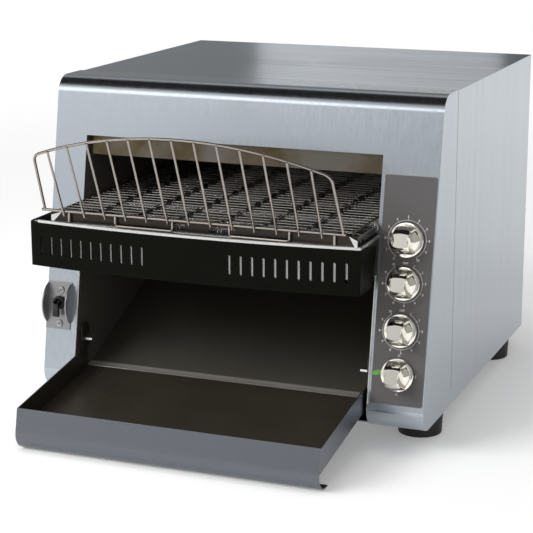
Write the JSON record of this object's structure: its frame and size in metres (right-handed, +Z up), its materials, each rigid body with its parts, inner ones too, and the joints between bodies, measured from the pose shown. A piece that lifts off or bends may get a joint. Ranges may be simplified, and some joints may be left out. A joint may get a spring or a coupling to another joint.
{
  "type": "conveyor toaster",
  "caption": "Counter conveyor toaster: stainless cabinet with sloping front, wire belt, leaning wire guard, bowed slotted cover, tilted product tray, dial panel and round feet.",
  "frame": {"origin": "on the counter, under the middle of the whole outline, tray and cable inlet included", "axes": "+X to the viewer's right, +Y from the front to the back, +Z up"},
  "size_m": [0.47, 0.6276, 0.392],
  "materials": {
    "brushed_stainless": "satin",
    "rear_steel": "satin",
    "inner_steel": "satin",
    "reflector_steel": "satin",
    "bare_steel": "satin",
    "belt_wire": "polished",
    "shaft_steel": "satin",
    "sprocket_steel": "satin",
    "bronze_bush": "satin",
    "quartz": "polished",
    "clip_steel": "satin",
    "black_cover": "gloss",
    "silver_trim": "satin",
    "dark_sheet": "satin",
    "ramp_sheet": "satin",
    "tray_sheet": "satin",
    "overlay_film": "satin",
    "chrome_knob": "polished",
    "black_plastic": "satin",
    "foot_rubber": "satin",
    "motor_paint": "satin"
  },
  "bodies": {
    "cabinet": {"base_pan": "rear_steel", "belt_slides": "bare_steel", "bottom_heater_tubes": "quartz", "control_overlay": "overlay_film", "cord_gland": "black_plastic", "discharge_ramp": "ramp_sheet", "drive_bushes": "bronze_bush", "drive_chain": "shaft_steel", "fan_frame": "black_plastic", "feet": "foot_rubber", "foot_screws": "bare_steel", "front_cover": "black_cover", "front_crossmember": "dark_sheet", "front_fascia": "brushed_stainless", "front_trim": "silver_trim", "gear_motor": "motor_paint", "heater_holders": "clip_steel", "idler_bushes": "bronze_bush", "left_conveyor_rail": "bare_steel", "left_cover_bracket": "inner_steel", "left_inner_wall": "inner_steel", "left_side_panel": "brushed_stainless", "lower_heat_control": "black_plastic", "lower_reflector": "reflector_steel", "power_switch": "black_plastic", "rear_chute": "inner_steel", "rear_panel": "rear_steel", "rear_screws": "bare_steel", "right_conveyor_rail": "bare_steel", "right_cover_bracket": "inner_steel", "right_inner_wall": "inner_steel", "right_side_panel": "brushed_stainless", "speed_control": "black_plastic", "terminal_block": "black_plastic", "toggle_body": "black_plastic", "toggle_bush": "black_plastic", "toggle_guard": "bare_steel", "toggle_screws": "bare_steel", "top_heater_tubes": "quartz", "top_panel": "brushed_stainless", "tray_pins": "bare_steel", "upper_heat_control": "black_plastic", "upper_reflector": "reflector_steel", "visor": "inner_steel", "wire_belt": "belt_wire"},
    "wire_guard": {"wire_guard": "belt_wire"},
    "product_tray": {"product_tray": "tray_sheet"},
    "speed_knob": {"speed_knob": "chrome_knob"},
    "upper_heat_knob": {"upper_heat_knob": "chrome_knob"},
    "lower_heat_knob": {"lower_heat_knob": "chrome_knob"},
    "power_knob": {"power_knob": "chrome_knob"},
    "toggle_lever": {"toggle_lever": "black_plastic"},
    "idler_axle": {"idler_shaft": "shaft_steel", "idler_sprockets": "sprocket_steel"},
    "drive_axle": {"drive_shaft": "shaft_steel", "drive_sprockets": "sprocket_steel", "shaft_sprocket": "shaft_steel"},
    "motor_output": {"motor_sprocket": "shaft_steel"},
    "fan_rotor": {"fan_impeller": "black_plastic"}
  },
  "joints": [
    {"name": "guard_slide", "type": "slide", "parent": "cabinet", "child": "wire_guard", "axis": [0, -1, 0], "range_m": [0, 0.03]},
    {"name": "tray_slide", "type": "slide", "parent": "cabinet", "child": "product_tray", "axis": [0, -1, 0], "range_m": [0, 0.12]},
    {"name": "speed_turn", "type": "hinge", "parent": "cabinet", "child": "speed_knob", "pos_m": [0.2033, -0.13506, 0.236], "axis": [0, -0.9848, 0.1736], "range_deg": [-152, 146]},
    {"name": "upper_heat_turn", "type": "hinge", "parent": "cabinet", "child": "upper_heat_knob", "pos_m": [0.2033, -0.1434, 0.1887], "axis": [0, -0.9848, 0.1736], "range_deg": [-325, 0]},
    {"name": "lower_heat_turn", "type": "hinge", "parent": "cabinet", "child": "lower_heat_knob", "pos_m": [0.2033, -0.15244, 0.1374], "axis": [0, -0.9848, 0.1736], "range_deg": [-325, 0]},
    {"name": "power_turn", "type": "hinge", "parent": "cabinet", "child": "power_knob", "pos_m": [0.2033, -0.16093, 0.0893], "axis": [0, -0.9848, 0.1736], "range_deg": [-180, 90]},
    {"name": "toggle_flip", "type": "hinge", "parent": "cabinet", "child": "toggle_lever", "pos_m": [-0.2178, -0.15598, 0.12885], "axis": [-1, 0, 0], "range_deg": [0, 25]},
    {"name": "drive_turn", "type": "hinge", "parent": "cabinet", "child": "drive_axle", "pos_m": [-0.0125, 0.1622, 0.24], "axis": [-1, 0, 0], "continuous": true},
    {"name": "idler_turn", "type": "hinge", "parent": "cabinet", "child": "idler_axle", "pos_m": [-0.0125, -0.1918, 0.24], "axis": [-1, 0, 0], "continuous": true},
    {"name": "motor_turn", "type": "hinge", "parent": "cabinet", "child": "motor_output", "pos_m": [-0.2, 0.1622, 0.072], "axis": [-1, 0, 0], "continuous": true},
    {"name": "fan_turn", "type": "hinge", "parent": "cabinet", "child": "fan_rotor", "pos_m": [-0.0125, 0.2962, 0.318], "axis": [0, 1, 0], "continuous": true}
  ],
  "couplings": [
    {"joint": "motor_turn", "follows": "drive_turn", "ratio": 1},
    {"joint": "idler_turn", "follows": "drive_turn", "ratio": 1}
  ]
}
